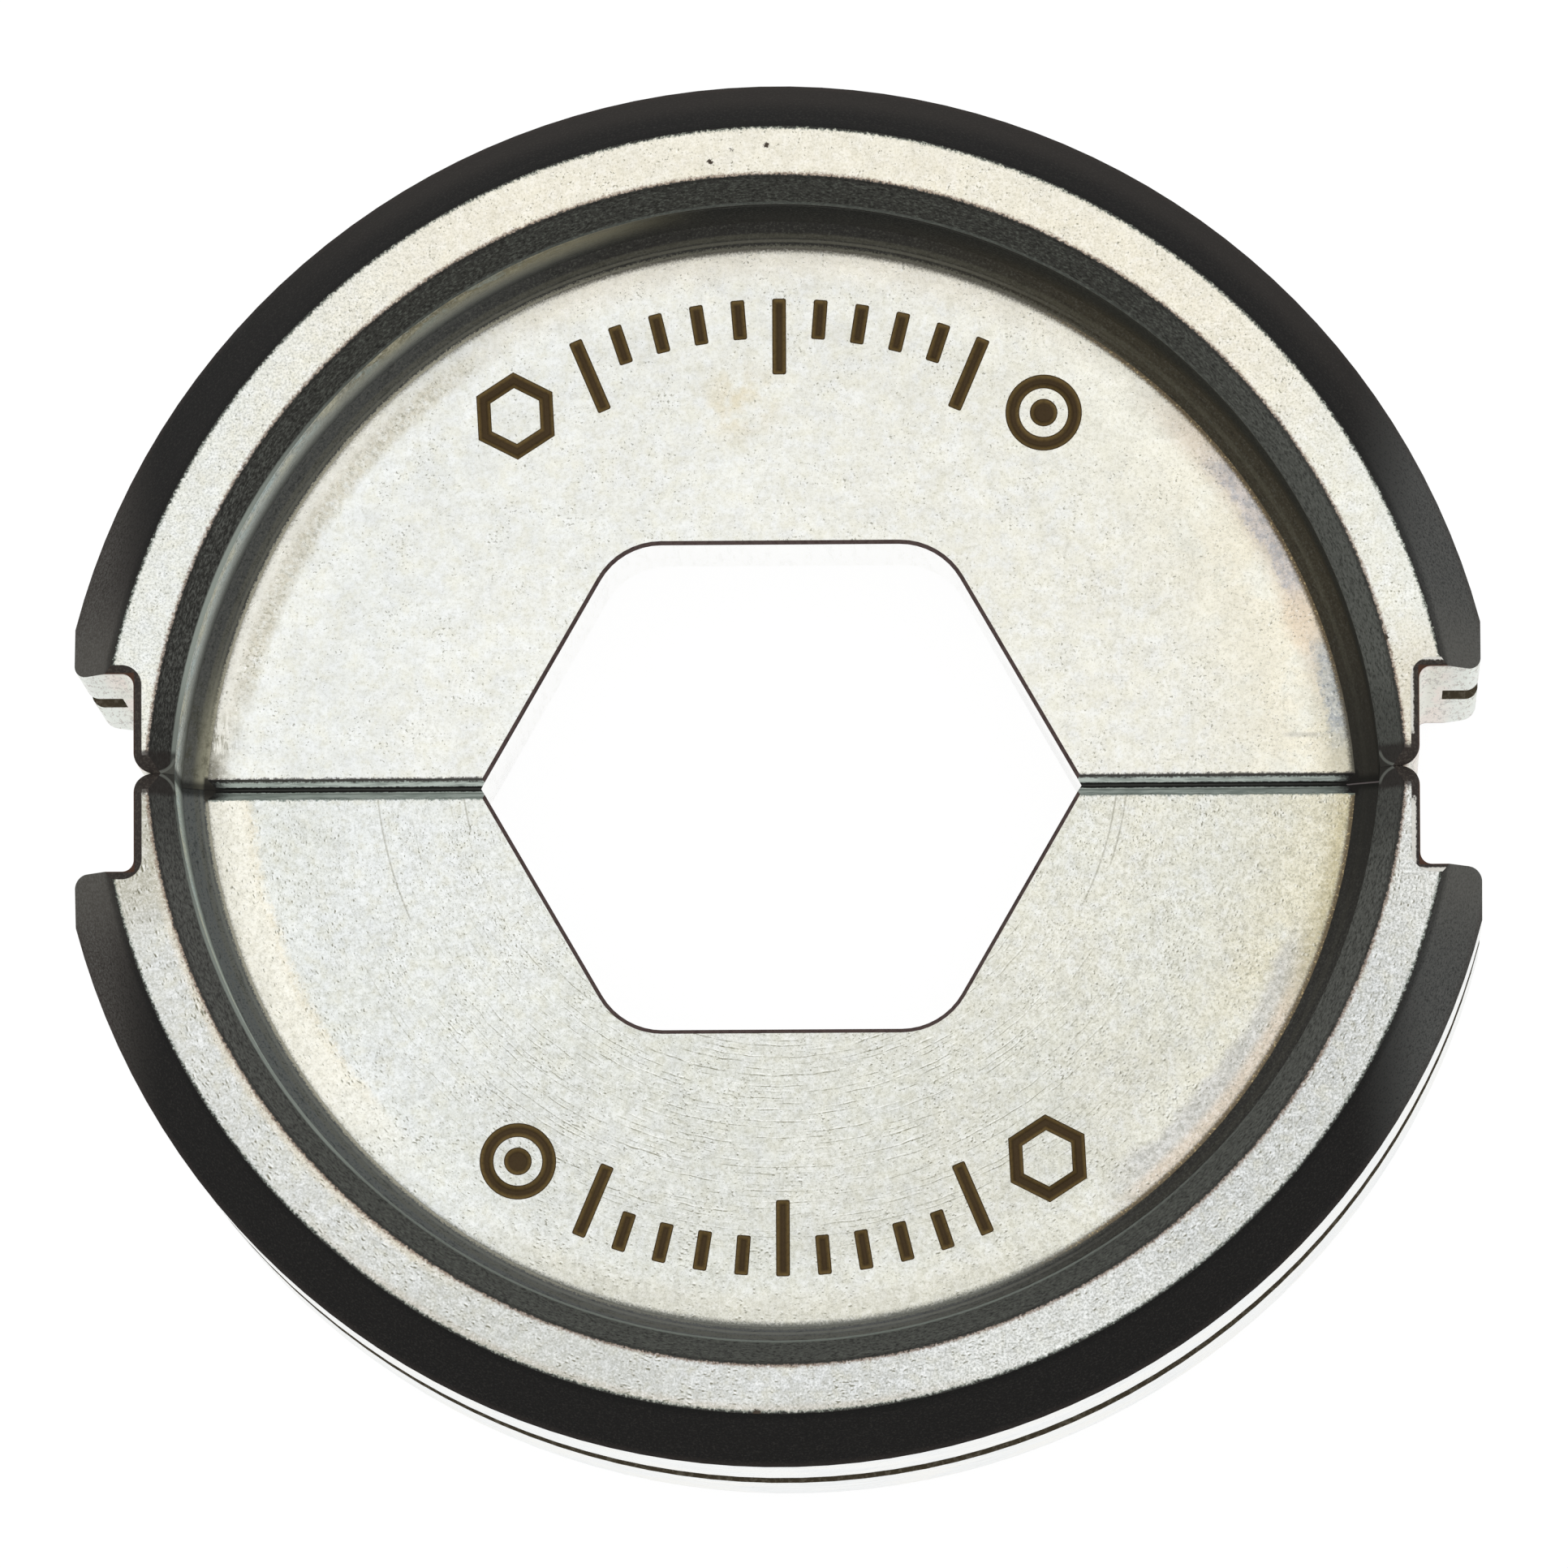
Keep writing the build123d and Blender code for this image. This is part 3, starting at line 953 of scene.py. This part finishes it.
def floor_finish():
    """A plain pale floor. Seen directly or in the metal it is nearly all white, and its rest
    keeps a soft shadow of the die."""
    finish = Finish("pale floor")
    path = finish.tree.nodes.new("ShaderNodeLightPath")
    seen = Signal(finish, path.outputs["Is Camera Ray"])
    mirrored = Signal(finish, path.outputs["Is Glossy Ray"])
    through = Signal(finish, path.outputs["Is Transmission Ray"])
    white_share = (seen + mirrored + through).lowest(1.0) * 0.86
    matte = finish.node("ShaderNodeBsdfDiffuse", {}, {"Color": (0.9, 0.9, 0.9)})
    bright = finish.node("ShaderNodeEmission", {}, {"Color": (1.0, 1.0, 1.0), "Strength": 1.1})
    mixed = finish.node("ShaderNodeMixShader", {}, [white_share, matte, bright])
    finish.tree.links.new(mixed.socket, finish.output.inputs["Surface"])
    return finish.material


def add_floor():
    """A wide round floor that the die lies on."""
    radius = 1.5
    mesh = bpy.data.meshes.new("floor")
    work = bmesh.new()
    bmesh.ops.create_circle(work, cap_ends=True, segments=96, radius=radius)
    work.to_mesh(mesh)
    work.free()
    floor = bpy.data.objects.new("floor", mesh)
    bpy.context.scene.collection.objects.link(floor)
    mesh.materials.append(floor_finish())


def add_world():
    """A plain room: pure white where the camera sees it, and dimmer as a light."""
    room_strength, seen_strength = 0.6, 1.0
    world = bpy.data.worlds.new("studio")
    world.use_nodes = True
    tree = world.node_tree
    tree.nodes.clear()
    path = tree.nodes.new("ShaderNodeLightPath")
    mixed = tree.nodes.new("ShaderNodeMixShader")
    output = tree.nodes.new("ShaderNodeOutputWorld")
    tree.links.new(path.outputs["Is Camera Ray"], mixed.inputs[0])
    for slot, strength in ((1, room_strength), (2, seen_strength)):
        white = tree.nodes.new("ShaderNodeBackground")
        white.inputs["Color"].default_value = (1.0, 1.0, 1.0, 1.0)
        white.inputs["Strength"].default_value = strength
        tree.links.new(white.outputs[0], mixed.inputs[slot])
    tree.links.new(mixed.outputs[0], output.inputs["Surface"])
    bpy.context.scene.world = world


def add_lamp(name, place, size, power):
    """A square soft box that faces the die."""
    light = bpy.data.lights.new(name, "AREA")
    light.shape = "SQUARE"
    light.size = size
    light.energy = power
    lamp = bpy.data.objects.new(name, light)
    away = Vector(place) - Vector((0, 0, MID_HEIGHT * MM))
    turn = away.to_track_quat("Z", "Y").to_matrix().to_4x4()
    lamp.matrix_world = Matrix.Translation(place) @ turn
    bpy.context.scene.collection.objects.link(lamp)


def add_camera():
    """The photograph's own view: from a good half metre above, a little to the right of the
    die's axis and a little below it on the picture."""
    distance = 0.640
    lens, sensor = 487.7, 36.0
    to_right = math.radians(1.3)
    to_front = math.radians(4.85)
    roll = math.radians(-0.242)
    aim_height, aim_right, aim_up = 0.012, 0.000054, 0.000202
    away = Vector((math.sin(to_right) * math.cos(to_front), -math.sin(to_front),
                   math.cos(to_right) * math.cos(to_front)))
    across = Vector((0, 1, 0)).cross(away).normalized()
    upwards = away.cross(across)
    turned = Matrix.Rotation(roll, 3, away)
    across = turned @ across
    upwards = turned @ upwards
    aim = Vector((0, 0, aim_height)) + aim_right * across + aim_up * upwards
    camera_data = bpy.data.cameras.new("camera")
    camera_data.sensor_width = sensor
    camera_data.lens = lens
    camera_data.clip_start = 0.01
    camera = bpy.data.objects.new("camera", camera_data)
    axes = Matrix((across, upwards, away)).transposed().to_4x4()
    camera.matrix_world = Matrix.Translation(aim + away * distance) @ axes
    bpy.context.scene.collection.objects.link(camera)
    bpy.context.scene.camera = camera


add_floor()
add_world()
add_lamp("overhead soft box", place=(0.0, 0.0, 0.9), size=0.9, power=2.6)
add_camera()
bpy.context.scene.view_settings.view_transform = "Standard"
